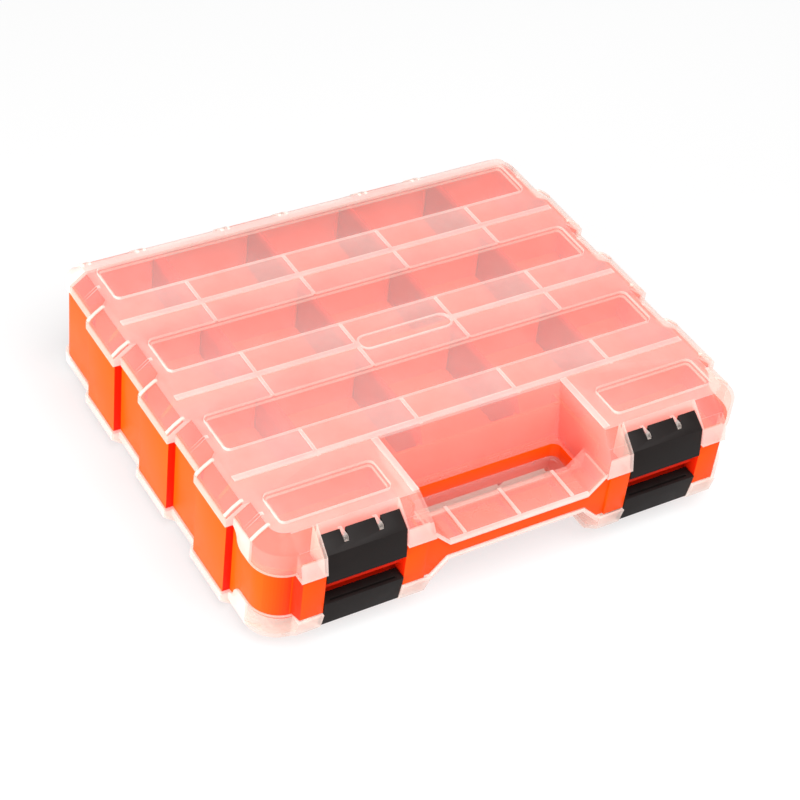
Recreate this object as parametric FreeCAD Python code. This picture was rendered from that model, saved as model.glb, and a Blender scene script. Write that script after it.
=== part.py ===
"""Double-sided hardware box: a tray open on both faces, two clear lids, four latches and loose dividers.

Millimetres. X runs along the latches, Y from the latches to the hinges, Z up. Everything is drawn about
the middle of the floor and the wall in front of the front row, and is moved at the end so that the origin
is the middle of the base.
"""
import FreeCAD
import Part
import os
from math import sqrt

Vector = FreeCAD.Vector

# Overall sizes
height = 80.0
side_outset = 157.5
side_step = 4.5
back_corner_radius = 11.0
front_corner_radius = 17.0
least_radius = 0.5
overrun = 5.0

# Rows of compartments and the stepped sides
row_count = 3
row_pitch = 70.0
back_row_depth = 30.6
column_count = 5
outset_front = 52.0
outset_length = 35.5

# Levels as shares of half the height
lid_split_share = 0.625
front_split_share = 0.375
tongue_share = 0.075
chamfer_drop_share = 0.1875
crease_share = 0.65
latch_top_share = 0.8125
latch_tip_share = 0.2
hook_height_share = 0.15
knuckle_underside_share = 0.6125
pivot_share = 0.69
bay_tongue_share = 0.55

# Tray walls
wall = 1.8
row_wall = 2.4
floor_thickness = 2.0
row_wall_shoulder = 2.0

# Lids
lid_overhang = 1.8
lid_clearance = 0.4
lid_thickness = 1.6
chamfer_run = 9.5
window_rise = 2.0
bend_gap = 1.0
bend_length = 12.0

# Windows, ridges and ribs on a lid
window_inset = 17.5
window_depth = 30.0
window_corner = 4.0
small_window_outer = 18.5
small_window_inner = 12.0
small_window_back = 17.55
small_window_front = 7.45
ridge_rise = 0.8
ridge_root = 0.6
ridge_width = 4.0
ridge_end_gap = 4.0
rib_width = 2.0
label_length = 62.0
label_depth = 13.0
label_rim = 1.5
label_sink = 0.5

# Latch blocks at the front of a lid, and how far things there stand back from the foremost plane
block_front = 64.0
block_inset = 20.5
block_root = 25.0
block_crease_back = 2.5
block_top_back = 15.5
front_wall_back = 9.0
pillar_draft = 2.0

# Handle recess, finger slot and bar
recess_top_half = 60.0
recess_lean = 6.0
recess_top_back = 2.5
recess_low_back = 17.0
recess_low_level = 8.0
recess_wall_back = 19.0
slot_depth = 22.0
slot_corner = 5.0
bar_back = 3.0
bar_half_thickness = 4.5
bar_ramp_inner = 9.0
bar_ramp_outer = 1.1
bar_rib_inset = 10.0
bar_chamfer = 2.0

# Latches
inner_pillar = 12.6
outer_pillar = 15.6
latch_gap = 0.4
latch_top_back = 13.5
latch_crease_back = 3.5
latch_tip_back = 0.8
hook_back = 9.5
hook_slope = 2.5
plate_inside_back = 7.0
groove_back = 2.8
groove_width = 1.4
groove_depth = 5.0
groove_end = 4.0
pivot_back = 10.5
pivot_radius = 1.4
pivot_clearance = 0.06
finger_radius = 2.9
finger_width = 2.5
finger_share = 0.21875
finger_gap = 0.4
lid_bay_depth = 16.8

# Latch bays of the tray
bay_depth = 12.0
catch_back = 6.3
ledge_back = 10.0
ledge_height = 2.0

# Hinges
hinge_count = 3
hinge_first_inset = 38.2
hinge_last_inset = 97.1
knuckle_spacing = 37.0
knuckle_width = 6.0
knuckle_radius = 3.2
knuckle_gap = 0.4
hinge_wall_gap = 0.35
pin_radius = 1.25
pin_fit = 0.02
pin_clearance = 0.05

# Dividers and the guides that hold them
divider_thickness = 1.8
divider_end_gap = 0.15
divider_top_gap = 0.4
guide_width = 1.2
guide_depth = 1.6
guide_gap = 0.1


def set_back(depth):
    """Y of what stands back from the foremost plane by a depth."""
    return depth - block_front


# Levels above the middle of the floor
half_height = height / 2
lid_split = lid_split_share * half_height
front_split = front_split_share * half_height
tongue = tongue_share * half_height
chamfer_drop = chamfer_drop_share * half_height
crease_level = crease_share * half_height
latch_top_level = latch_top_share * half_height
latch_tip_level = latch_tip_share * half_height
hook_height = hook_height_share * half_height
knuckle_underside = knuckle_underside_share * half_height
pivot_level = pivot_share * half_height
bay_tongue_level = bay_tongue_share * half_height
plate_level = half_height - window_rise
chamfer_level = plate_level - chamfer_drop
half_floor = floor_thickness / 2
wall_top = lid_split + tongue
pillar_top = front_split - lid_clearance
front_top = front_split + tongue
row_top = plate_level - lid_thickness - lid_clearance
slot_level = bar_half_thickness + lid_clearance
bar_rise = pillar_top - bar_half_thickness

# Places along X and Y
skirt = lid_overhang - lid_clearance
side_inset = side_outset - side_step
row_centres = [(row_count - number - 1 / 2) * row_pitch for number in range(row_count)]
back_face = row_centres[0] + back_row_depth
column_pitch = 2 * (side_outset + lid_overhang) / column_count
column_lines = [(number - column_count / 2) * column_pitch for number in range(1, column_count)]
window_half = side_outset - window_inset
block_outer = side_outset - block_inset
pillar_y = set_back(lid_overhang)
pillar_outer = block_outer - lid_overhang
bay_inner = recess_top_half + inner_pillar
bay_outer = block_outer - outer_pillar
bay_y = set_back(bay_depth)
lid_bay_y = set_back(lid_bay_depth)
latch_width = bay_outer - bay_inner - 2 * latch_gap
latch_centre_x = (bay_inner + bay_outer) / 2
finger_offset = finger_share * latch_width
pivot_y = set_back(pivot_back)
small_window_y = (set_back(block_top_back + small_window_front), -small_window_back)
recess_low_half = recess_top_half - recess_lean
slot_front = recess_low_back + slot_depth
bar_y = set_back(bar_back)
bar_cover_y = bar_y - lid_overhang
ramp_inner = recess_low_half - bar_ramp_inner
ramp_outer = recess_low_half + bar_ramp_outer
bar_ribs = [-ramp_inner + bar_rib_inset, 0, ramp_inner - bar_rib_inset]
hinge_y = back_face + knuckle_radius + hinge_wall_gap
hinge_first = hinge_first_inset - side_outset
hinge_pitch = (side_outset - hinge_last_inset - hinge_first) / (hinge_count - 1)
hinge_xs = [hinge_first + number * hinge_pitch for number in range(hinge_count)]
bend_start = outset_front + bend_gap - row_centres[-1]
far = side_outset + back_face + block_front
box_back = hinge_y + knuckle_radius
to_base = Vector(0, (block_front - box_back) / 2, half_height)


def recess_half(level):
    """Half width of the handle recess of a lid at a level."""
    share = (level - recess_low_level) / (half_height - recess_low_level)
    return recess_low_half + share * (recess_top_half - recess_low_half)


def recess_back(level):
    """Distance of the back of the handle recess in front of the front row at a level."""
    share = (level - recess_low_level) / (half_height - recess_low_level)
    return recess_low_back + share * (recess_top_back - recess_low_back)


tray_recess_half = recess_half(lid_split) + lid_thickness + lid_clearance
tray_recess_back = recess_back(lid_split) - lid_thickness - lid_clearance


def block(x0, x1, y0, y1, z0, z1):
    """A box between two corners."""
    return Part.makeBox(x1 - x0, y1 - y0, z1 - z0, Vector(x0, y0, z0))


def both_sides(x0, x1, y0, y1, z0, z1):
    """A box on the right and its mirror image on the left."""
    return [block(x0, x1, y0, y1, z0, z1), block(-x1, -x0, y0, y1, z0, z1)]


def along_x(points, x0, x1):
    """A prism along X over a polygon of Y and Z."""
    wire = Part.makePolygon([Vector(x0, y, z) for y, z in points + points[:1]])
    return Part.Face(wire).extrude(Vector(x1 - x0, 0, 0))


def along_y(points, y0, y1):
    """A prism along Y over a polygon of X and Z."""
    wire = Part.makePolygon([Vector(x, y0, z) for x, z in points + points[:1]])
    return Part.Face(wire).extrude(Vector(0, y1 - y0, 0))


def rounded_wire(corners, level):
    """A closed wire at a level through corners of X, Y and radius, where radius 0 stays sharp."""
    joints = []
    for number, (x, y, radius) in enumerate(corners):
        before = corners[number - 1]
        after = corners[(number + 1) % len(corners)]
        here = Vector(x, y, level)
        if not radius:
            joints.append((here, None, here))
            continue
        to_before = (Vector(before[0], before[1], level) - here).normalize()
        to_after = (Vector(after[0], after[1], level) - here).normalize()
        half_cosine = sqrt((1 + to_before.dot(to_after)) / 2)
        half_sine = sqrt((1 - to_before.dot(to_after)) / 2)
        reach = radius * half_cosine / half_sine
        inwards = (to_before + to_after).normalize()
        middle = here + inwards * (radius / half_sine - radius)
        joints.append((here + to_before * reach, middle, here + to_after * reach))
    edges = []
    for number, (start, middle, end) in enumerate(joints):
        if middle:
            edges.append(Part.Arc(start, middle, end).toShape())
        next_start = joints[(number + 1) % len(joints)][0]
        edges.append(Part.LineSegment(end, next_start).toShape())
    return Part.Wire(edges)


def rounded_prism(corners, z0, z1):
    """A prism along Z over a rounded outline."""
    return Part.Face(rounded_wire(corners, z0)).extrude(Vector(0, 0, z1 - z0))


def rounded_block(x0, x1, y0, y1, radius, z0, z1):
    """A box with rounded upright edges."""
    corners = [(x0, y0, radius), (x1, y0, radius), (x1, y1, radius), (x0, y1, radius)]
    return rounded_prism(corners, z0, z1)


def rod(x0, x1, y, z, radius):
    """A round bar along X."""
    return Part.makeCylinder(radius, x1 - x0, Vector(x0, y, z), Vector(1, 0, 0))


def outline(grow, step_shift):
    """Corners of the box in plan, grown outwards, with the step faces shifted along Y."""
    inset = side_inset + grow
    outset = side_outset + grow
    right = [(inset, back_face + grow, max(back_corner_radius + grow, least_radius))]
    for row in row_centres:
        front_end = row - outset_front
        back_end = front_end + outset_length
        right += [(inset, back_end + side_step, 0), (outset, back_end, 0)]
        right += [(outset, front_end + step_shift, 0), (inset, front_end + step_shift, 0)]
    right += [(inset, set_back(front_wall_back) - grow, max(front_corner_radius + grow, least_radius))]
    left = [(-x, y, radius) for x, y, radius in reversed(right)]
    return right + left


def bend_solid(side_level, front_level, far_level):
    """Everything between a far level and the edge that drops in an S bend towards the front corners."""
    middle_level = (side_level + front_level) / 2
    middle = -bend_start - bend_length / 2
    end = -bend_start - bend_length
    drop = (side_level - front_level) / 2
    run = bend_length / 2
    slant = sqrt(drop * drop + run * run) / 2
    sag = slant * drop / (run + 2 * slant)
    lean = Vector(0, drop, run).normalize() * sag

    def at(y, z):
        return Vector(-far, y, z)

    upper_middle = at((middle - bend_start) / 2, (side_level + middle_level) / 2) + Vector(0, -lean.y, lean.z)
    lower_middle = at((middle + end) / 2, (front_level + middle_level) / 2) - Vector(0, -lean.y, lean.z)
    points = [at(far, far_level), at(far, side_level), at(-bend_start, side_level)]
    edges = [Part.LineSegment(points[0], points[1]).toShape(), Part.LineSegment(points[1], points[2]).toShape()]
    edges.append(Part.Arc(points[2], upper_middle, at(middle, middle_level)).toShape())
    edges.append(Part.Arc(at(middle, middle_level), lower_middle, at(end, front_level)).toShape())
    ahead = -block_front - far
    rest = [at(end, front_level), at(ahead, front_level), at(ahead, far_level), points[0]]
    for start, stop in zip(rest, rest[1:]):
        edges.append(Part.LineSegment(start, stop).toShape())
    return Part.Face(Part.Wire(edges)).extrude(Vector(2 * far, 0, 0))


def upside_down(shape):
    """The same moulding turned over about the line from front to back."""
    return shape.rotated(Vector(0, 0, 0), Vector(0, 1, 0), 180)


def mirrored(shape):
    """The mirror image below the floor of the tray."""
    return shape.mirror(Vector(0, 0, 0), Vector(0, 0, 1))


def slot_block(grow, z0, z1):
    """The finger slot between two levels, grown outwards."""
    half = recess_low_half + grow
    return rounded_block(-half, half, -slot_front - grow, -recess_low_back + grow, slot_corner + grow, z0, z1)


def barrel_spans():
    """The stretches of X that the tray's barrels for the top lid take, one per hinge."""
    half = (knuckle_spacing - knuckle_width) / 2 - knuckle_gap
    return [(x - half, x + half) for x in hinge_xs]


def knuckle_spans():
    """The stretches of X that the top lid's knuckles take, two per hinge."""
    half = knuckle_width / 2
    centres = [x + side * knuckle_spacing / 2 for x in hinge_xs for side in (-1, 1)]
    return [(x - half, x + half) for x in centres]


def tray_rim():
    """Outer wall of the tray, lower at the front corners and open at the bays and the handle recess."""
    rim = rounded_prism(outline(0, 0), -wall_top, wall_top)
    rim = rim.cut(rounded_prism(outline(-wall, wall), -wall_top - overrun, wall_top + overrun))
    above = bend_solid(wall_top, front_top, half_height + overrun)
    cuts = [above, mirrored(above)]
    cuts.append(block(-tray_recess_half, tray_recess_half, -far, set_back(recess_wall_back), -far, far))
    relief = bay_outer + wall + lid_clearance
    for z0, z1 in ((pillar_top, far), (-far, -pillar_top)):
        cuts.append(block(-relief, relief, -far, bay_y, z0, z1))
    cuts += both_sides(bay_inner, bay_outer, -far, bay_y, -far, far)
    return rim.cut(cuts)


def guide_pair(column, y0, y1, z0, z1):
    """Two upright ribs that hold the end of a divider between them."""
    near = divider_thickness / 2 + guide_gap
    far_side = near + guide_width
    left = block(column - far_side, column - near, y0, y1, z0, z1)
    return [left, block(column + near, column + far_side, y0, y1, z0, z1)]


def row_wall_solid(points, y, columns, front_reach):
    """A wall along X over a polygon of X and Z, with guides that reach out in front and behind."""
    face = row_wall / 2
    guides = []
    for column in columns:
        guides += guide_pair(column, y - front_reach, y + face + guide_depth, half_floor, lid_split)
    return along_y(points, y - face, y + face).multiFuse(guides).removeSplitter()


def row_walls():
    """Walls of the upper face between the rows by name, with ends that follow the slope of the lid."""
    top_half = side_outset + lid_clearance - chamfer_run - row_wall_shoulder
    reach = side_outset - wall
    end = [(reach, half_floor), (reach, lid_split), (top_half, row_top)]
    walls = {}
    for number, row in enumerate(row_centres[:-1], 1):
        points = end + [(-x, z) for x, z in reversed(end)]
        y = row - row_pitch / 2
        walls[f"row_wall_{number}"] = row_wall_solid(points, y, column_lines, row_wall / 2 + guide_depth)
    inner = recess_half(half_height) + lid_thickness + lid_clearance + row_wall_shoulder
    end += [(inner, row_top), (inner, lid_split), (tray_recess_half, lid_split), (tray_recess_half, half_floor)]
    front_y = row_centres[-1] - row_pitch / 2
    for name, side in (("left", -1), ("right", 1)):
        points = [(side * x, z) for x, z in end]
        columns = [x for x in column_lines if side * x > tray_recess_half]
        walls[f"front_row_wall_{name}"] = row_wall_solid(points, front_y, columns, row_wall / 2)
    return walls


def row_span(row, column):
    """The clear stretch of Y of one row at a divider line."""
    back = row + row_pitch / 2 - row_wall / 2
    front = row - row_pitch / 2 + row_wall / 2
    if row == row_centres[0]:
        back = back_face - wall
    if row == row_centres[-1] and abs(column) < tray_recess_half:
        front = -tray_recess_back + wall
    return front, back


def divider_guides():
    """Guides on the back wall and on the back of the handle recess."""
    guides = []
    for column in column_lines:
        back = back_face - wall
        guides += guide_pair(column, back - guide_depth, back + wall / 2, -lid_split, lid_split)
        if abs(column) < tray_recess_half:
            face = -tray_recess_back + wall
            guides += guide_pair(column, face - wall / 2, face + guide_depth, -lid_split, lid_split)
    return guides


def front_walls():
    """Walls of the handle recess, the latch bays and the pillars on each side of a bay."""
    inner = tray_recess_half
    behind = bay_y + wall
    wall_y = set_back(recess_wall_back)
    outer = inner + wall
    walls = [block(-outer, outer, -tray_recess_back, -tray_recess_back + wall, -lid_split, lid_split)]
    walls += both_sides(inner, outer, wall_y, -row_wall / 2, -lid_split, lid_split)
    walls += both_sides(inner, outer, pillar_y, wall_y, -pillar_top, pillar_top)
    for x0, x1 in ((bay_inner - wall, bay_inner), (bay_outer, bay_outer + wall)):
        walls += both_sides(x0, x1, pillar_y, behind, -pillar_top, pillar_top)
    walls += both_sides(bay_inner - wall, bay_outer + wall, bay_y, behind, -pillar_top, pillar_top)
    x0 = bay_inner + lid_clearance
    x1 = bay_outer - lid_clearance
    walls += both_sides(x0, x1, bay_y, behind, -bay_tongue_level, bay_tongue_level)
    for x0, x1 in ((inner, bay_inner), (bay_outer, pillar_outer)):
        walls += both_sides(x0, x1, pillar_y, pillar_y + wall, -pillar_top, pillar_top)
        walls += both_sides(x0, x1, pillar_y, behind, -half_floor, half_floor)
    root_y = set_back(front_wall_back) + wall / 2
    root_x = pillar_outer + pillar_draft
    step = [(pillar_outer, pillar_y, 0), (root_x, root_y, 0)]
    step += [(root_x - wall, root_y, 0), (pillar_outer - wall, pillar_y, 0)]
    for side in (-1, 1):
        corners = [(side * x, y, radius) for x, y, radius in step]
        walls.append(rounded_prism(corners, -pillar_top, pillar_top))
    return walls


def catches():
    """The middle rib of each latch bay and the ledges that the latch hooks close under."""
    root = bay_y + wall / 2
    x0 = bay_inner - wall / 2
    x1 = bay_outer + wall / 2
    pieces = both_sides(x0, x1, set_back(catch_back), root, -half_floor, half_floor)
    ledge_low = latch_tip_level + hook_height + latch_gap
    for z0, z1 in ((ledge_low, ledge_low + ledge_height), (-ledge_low - ledge_height, -ledge_low)):
        x0 = bay_inner + lid_clearance
        pieces += both_sides(x0, bay_outer - lid_clearance, set_back(ledge_back), root, z0, z1)
    return pieces


def handle_bar():
    """Front wall, ribs and slot rim of the handle bar."""
    inner = tray_recess_half + wall / 2
    upper = [(inner, pillar_top), (ramp_outer, pillar_top), (ramp_inner, bar_half_thickness)]
    upper += [(-x, z) for x, z in reversed(upper)]
    front = along_y(upper + [(x, -z) for x, z in reversed(upper)], bar_y, bar_y + wall)
    pieces = [front, slot_block(wall, -bar_half_thickness, bar_half_thickness)]
    pieces.append(block(-inner, inner, bar_y, -tray_recess_back, -half_floor, half_floor))
    for x in bar_ribs:
        x0 = x - wall / 2
        pieces.append(block(x0, x0 + wall, bar_y, -slot_front, -bar_half_thickness, bar_half_thickness))
    return pieces


def hinge_barrels():
    """Barrels of the tray, with a web to the back wall, for the top lid."""
    pieces = []
    top = lid_split - lid_clearance
    for x0, x1 in barrel_spans():
        pieces.append(rod(x0, x1, hinge_y, lid_split, knuckle_radius))
        pieces.append(block(x0, x1, back_face - wall / 2, hinge_y, lid_split - knuckle_radius, top))
    return pieces


def pin_bores(radius):
    """One long bore for each hinge of the top lid."""
    reach = knuckle_spacing / 2 + knuckle_width / 2 + overrun
    return [rod(x - reach, x + reach, hinge_y, lid_split, radius) for x in hinge_xs]


def tray_sections(walls):
    """The walls of the tray by name, cut beside the handle and through the back corners."""
    reach = tray_recess_half + wall
    middle = block(-reach, reach, -far, -row_wall / 2, -far, far)
    corner_x = side_inset - back_corner_radius
    corner_y = back_face - back_corner_radius
    corners = [(corner_x, corner_y, 0), (corner_x + far, corner_y + far, 0)]
    corners += [(-x, y, radius) for x, y, radius in reversed(corners)]
    behind = rounded_prism(corners, -far, far)
    left, right = sorted(walls.cut([middle, behind]).Solids, key=lambda side: side.BoundBox.XMin)
    parts = {"tray_handle": walls.common(middle), "tray_back": walls.common(behind)}
    parts.update({"tray_left": left, "tray_right": right})
    return {name: shape.removeSplitter() for name, shape in parts.items()}


def make_tray():
    """The walls of the tray with the handle bar and the hinge barrels, and the floor between the walls."""
    bays = both_sides(bay_inner, bay_outer, -far, bay_y, -far, far)
    front = bays + [block(-tray_recess_half, tray_recess_half, -far, bar_y, -far, far)]
    barrels = hinge_barrels()
    pieces = divider_guides() + front_walls() + catches() + handle_bar()
    pieces += barrels + [upside_down(shape) for shape in barrels]
    walls = tray_rim().multiFuse(pieces)
    plates = rounded_prism(outline(0, 0), -half_floor, half_floor).cut(front).cut(walls).Solids
    floor, *small = sorted(plates, key=lambda plate: plate.Volume, reverse=True)
    bores = pin_bores(pin_radius + pin_fit)
    cuts = bores + [upside_down(shape) for shape in bores] + [slot_block(0, -far, far)]
    parts = tray_sections(walls.multiFuse(small).cut(cuts).removeSplitter())
    parts["tray_floor"] = floor.removeSplitter()
    return parts


def lid_body(grow, top, drop, split):
    """The solid under the roof of a lid, without the latch blocks, down to its lower edge."""
    start = top - drop
    lower = rounded_prism(outline(grow, -grow), 0, start)
    wide = rounded_wire(outline(grow, -grow), start)
    narrow = rounded_wire(outline(grow - chamfer_run, -grow), top)
    body = lower.fuse(Part.makeLoft([wide, narrow], True, True))
    return body.cut(bend_solid(lid_split - split, front_split - split, -overrun - split))


def block_profile(inside):
    """Corners in Y and Z of the latch blocks of a lid, moved in by a wall."""
    top = plate_level - (lid_thickness if inside else 0)
    low = front_split - (overrun if inside else 0)
    crease = crease_level - inside / 2
    lean = block_crease_back / (crease - front_split)
    foremost = set_back(lean * (low - front_split)) + inside
    points = [(-block_root, low), (foremost, low), (set_back(block_crease_back) + inside, crease)]
    return points + [(set_back(block_top_back) + inside, top), (-block_root, top)]


def recess_solid(grow, z0, z1):
    """The space of the handle recess of a lid, open at the front, grown outwards."""
    wires = []
    for level in (z0, z1):
        half = recess_half(level) + grow
        back = -recess_back(level) + grow
        corners = [(-half, set_back(-far), 0), (half, set_back(-far), 0), (half, back, 0), (-half, back, 0)]
        wires.append(rounded_wire(corners, level))
    return Part.makeLoft(wires, True, True)


def bar_cover():
    """Cover of a lid over the handle bar, with its end ramps."""
    end = recess_half(front_split) + lid_thickness
    line = [(end, bar_rise), (ramp_outer, bar_rise), (ramp_inner, 0)]
    line += [(-x, z) for x, z in reversed(line)]

    def raised(low, high):
        return [(x, z + high) for x, z in line] + [(x, z + low) for x, z in reversed(line)]

    cover = along_y(raised(slot_level, recess_low_level), bar_cover_y, -slot_front)
    hollow = raised(-overrun, recess_low_level - lid_thickness)
    cover = cover.cut(along_y(hollow, bar_cover_y + skirt, -slot_front - lid_thickness))
    chamfer = [(bar_cover_y, recess_low_level - bar_chamfer), (bar_cover_y, recess_low_level)]
    chamfer.append((bar_cover_y + bar_chamfer, recess_low_level))
    cover = cover.cut(along_x(chamfer, -ramp_inner, ramp_inner))
    under = along_y(raised(-far, slot_level), set_back(-far), -slot_front - lid_thickness)
    return cover, under


def recess_walls(under):
    """Sloping walls of the handle recess of a lid and the lip round the finger slot."""
    roof = half_height + overrun
    walls = recess_solid(lid_thickness, recess_low_level, roof).cut(recess_solid(0, recess_low_level, roof))
    profile = block_profile(0)
    keep = [(-recess_top_back + overrun, slot_level), (set_back(0), slot_level)] + profile[1:4]
    walls = walls.common(along_x(keep + [(-recess_top_back + overrun, plate_level)], -far, far)).cut(under)
    half = recess_low_half + lid_thickness
    lip_back = -recess_low_back + lid_thickness
    lip = block(-half, half, -slot_front - lid_thickness, lip_back, slot_level, recess_low_level)
    return walls, lip.cut(slot_block(0, 0, far))


def window_blocks(inset, z0, z1):
    """The raised windows of a lid, moved in by a wall."""
    spans = []
    for row in row_centres:
        spans.append((-window_half, window_half, row - window_depth / 2, row + window_depth / 2))
    near = recess_top_half + small_window_inner
    outer = side_outset - small_window_outer
    spans += [(near, outer) + small_window_y, (-outer, -near) + small_window_y]
    blocks = []
    for x0, x1, y0, y1 in spans:
        radius = window_corner - inset
        blocks.append(rounded_block(x0 + inset, x1 - inset, y0 + inset, y1 - inset, radius, z0, z1))
    return blocks


def side_rib(y):
    """A rib down the sloping side of a lid, on both sides."""
    rim_x = side_inset + lid_overhang
    edge_x = rim_x - chamfer_run
    points = [(rim_x, chamfer_level - ridge_root), (rim_x, chamfer_level), (edge_x, plate_level + ridge_rise)]
    points += [(edge_x - rib_width, plate_level + ridge_rise), (edge_x - rib_width, plate_level - ridge_root)]
    points.append((edge_x, plate_level - ridge_root))
    rib = along_y(points, y - rib_width / 2, y + rib_width / 2)
    return [rib, rib.mirror(Vector(0, 0, 0), Vector(1, 0, 0))]


def label_block(inset, z0, z1):
    """The plain oval in the middle of the lid, moved in by its rim."""
    half = label_length / 2 - inset
    deep = label_depth / 2 - inset
    return rounded_block(-half, half, row_pitch - deep, row_pitch + deep, deep - least_radius, z0, z1)


def lid_relief():
    """Ridges along the row walls, cross ribs at the dividers, ribs on the slopes and the oval's rim."""
    root = plate_level - ridge_root
    top = plate_level + ridge_rise
    ridge_half = side_outset + lid_overhang - chamfer_run - ridge_end_gap
    pieces = [label_block(0, root, top)]
    for row in row_centres:
        y = row - row_pitch / 2
        pieces.append(block(-ridge_half, ridge_half, y - ridge_width / 2, y + ridge_width / 2, root, top))
        pieces += side_rib(row)
        near = row - window_depth / 2
        last = -recess_top_back if row == row_centres[-1] else near - row_pitch + window_depth
        for x in column_lines:
            pieces.append(block(x - rib_width / 2, x + rib_width / 2, last, near, root, top))
    pieces += side_rib(sum(small_window_y) / 2)
    edge = recess_half(plate_level)
    pieces += both_sides(edge, edge + ridge_width, lid_bay_y, -recess_top_back, root, top)
    y0 = bar_cover_y + bar_chamfer
    z0 = recess_low_level - ridge_root
    for x in bar_ribs:
        x0 = x - rib_width / 2
        pieces.append(block(x0, x0 + rib_width, y0, -slot_front, z0, recess_low_level + ridge_rise))
    return pieces


def latch_fingers():
    """Open fingers in the lid's latch bays that the pivot bars of the latches snap into."""
    pieces = []
    y = pivot_y
    for side in (-1, 1):
        for finger in (-1, 1):
            x0 = side * latch_centre_x + finger * finger_offset - finger_width / 2
            x1 = x0 + finger_width
            ring = rod(x0, x1, y, pivot_level, finger_radius)
            root = lid_bay_y + skirt / 2
            stem = block(x0, x1, y, root, pivot_level - pivot_radius, pivot_level + finger_radius)
            mouth = block(x0, x1, y - far, y, pivot_level - far, pivot_level)
            bore = rod(x0, x1, y, pivot_level, pivot_radius + pivot_clearance)
            pieces.append(ring.fuse(stem).cut([mouth, bore]))
    return pieces


def lid_knuckles():
    """Knuckles of the top lid, with arms to its rim."""
    pieces = []
    arm_y = back_face + lid_overhang - skirt / 2
    for x0, x1 in knuckle_spans():
        pieces.append(rod(x0, x1, hinge_y, lid_split, knuckle_radius))
        pieces.append(block(x0, x1, arm_y, hinge_y, lid_split, lid_split + knuckle_radius))
    return pieces


def make_top_lid():
    """A lid, one moulding."""
    blocks = along_x(block_profile(0), -block_outer, block_outer)
    outer = lid_body(lid_overhang, plate_level, chamfer_drop, 0).fuse(blocks)
    inner_drop = chamfer_drop - (lid_thickness - skirt)
    inner = lid_body(lid_clearance, plate_level - lid_thickness, inner_drop, overrun)
    inner = inner.fuse(along_x(block_profile(skirt), -block_outer + skirt, block_outer - skirt))
    shell = outer.cut(inner)
    bays = both_sides(bay_inner - skirt, bay_outer + skirt, -far, lid_bay_y + skirt, front_split, plate_level)
    shell = shell.multiFuse([bay.common(blocks) for bay in bays])
    shell = shell.cut(recess_solid(0, recess_low_level, half_height + overrun))
    shell = shell.cut(both_sides(bay_inner, bay_outer, -far, lid_bay_y, 0, far))
    cover, under = bar_cover()
    walls, lip = recess_walls(under)
    pieces = [cover, walls, lip] + window_blocks(0, plate_level - ridge_root, half_height)
    lid = shell.multiFuse(pieces + lid_relief())
    below = plate_level - lid_thickness - overrun
    cuts = window_blocks(lid_thickness, below, half_height - lid_thickness)
    cuts.append(label_block(label_rim, plate_level - label_sink, half_height))
    for x0, x1 in barrel_spans():
        cuts.append(rod(x0 - knuckle_gap, x1 + knuckle_gap, hinge_y, lid_split, knuckle_radius + lid_clearance))
    lid = lid.cut(cuts).multiFuse(lid_knuckles() + latch_fingers())
    return lid.cut(pin_bores(pin_radius + pin_clearance))


def make_latch(centre):
    """A latch of the top lid, with its pivot bar in two notches and a finger groove in its free end."""
    x0 = centre - latch_width / 2
    x1 = centre + latch_width / 2
    hook_level = latch_tip_level + hook_height
    points = [(set_back(latch_top_back), latch_top_level), (set_back(latch_crease_back), crease_level)]
    points += [(set_back(latch_tip_back), latch_tip_level), (set_back(hook_back), latch_tip_level)]
    points += [(set_back(hook_back), hook_level), (set_back(plate_inside_back), hook_level + hook_slope)]
    points.append((set_back(plate_inside_back), knuckle_underside - hook_slope))
    points += [(pivot_y - pivot_radius, knuckle_underside), (set_back(latch_top_back), knuckle_underside)]
    latch = along_x(points, x0, x1)
    groove_top = latch_tip_level + groove_depth
    groove_y = set_back(groove_back)
    groove = block(x0 + groove_end, x1 - groove_end, groove_y, groove_y + groove_width, 0, groove_top)
    cuts = [groove]
    bars = []
    for finger in (-1, 1):
        half = finger_width / 2 + finger_gap
        x = centre + finger * finger_offset
        room = finger_radius + finger_gap
        low = pivot_level - room
        cuts.append(block(x - half, x + half, pivot_y - room, lid_bay_y, low, half_height))
        bars.append(rod(x - half - pivot_radius, x + half + pivot_radius, pivot_y, pivot_level, pivot_radius))
    return latch.cut(cuts).multiFuse(bars).removeSplitter()


def make_divider(row, column):
    """A loose divider plate of the upper face, cut to clear the slopes of the lid."""
    front, back = row_span(row, column)
    front += divider_end_gap
    back -= divider_end_gap
    top = row_top - divider_top_gap
    corners = [(front, half_floor), (back, half_floor)]
    if row == row_centres[0]:
        corners += [(back, lid_split), (back - (top - lid_split), top)]
    else:
        corners += [(back, top)]
    if row == row_centres[-1] and abs(column) < tray_recess_half:
        corners += [(front + (top - lid_split) / 2, top), (front, lid_split - divider_top_gap)]
    else:
        corners += [(front, top)]
    return along_x(corners, column - divider_thickness / 2, column + divider_thickness / 2)


def make_pin(x):
    """A hinge pin of the top lid."""
    half = knuckle_spacing / 2 + knuckle_width / 2
    return rod(x - half, x + half, hinge_y, lid_split, pin_radius)


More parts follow.
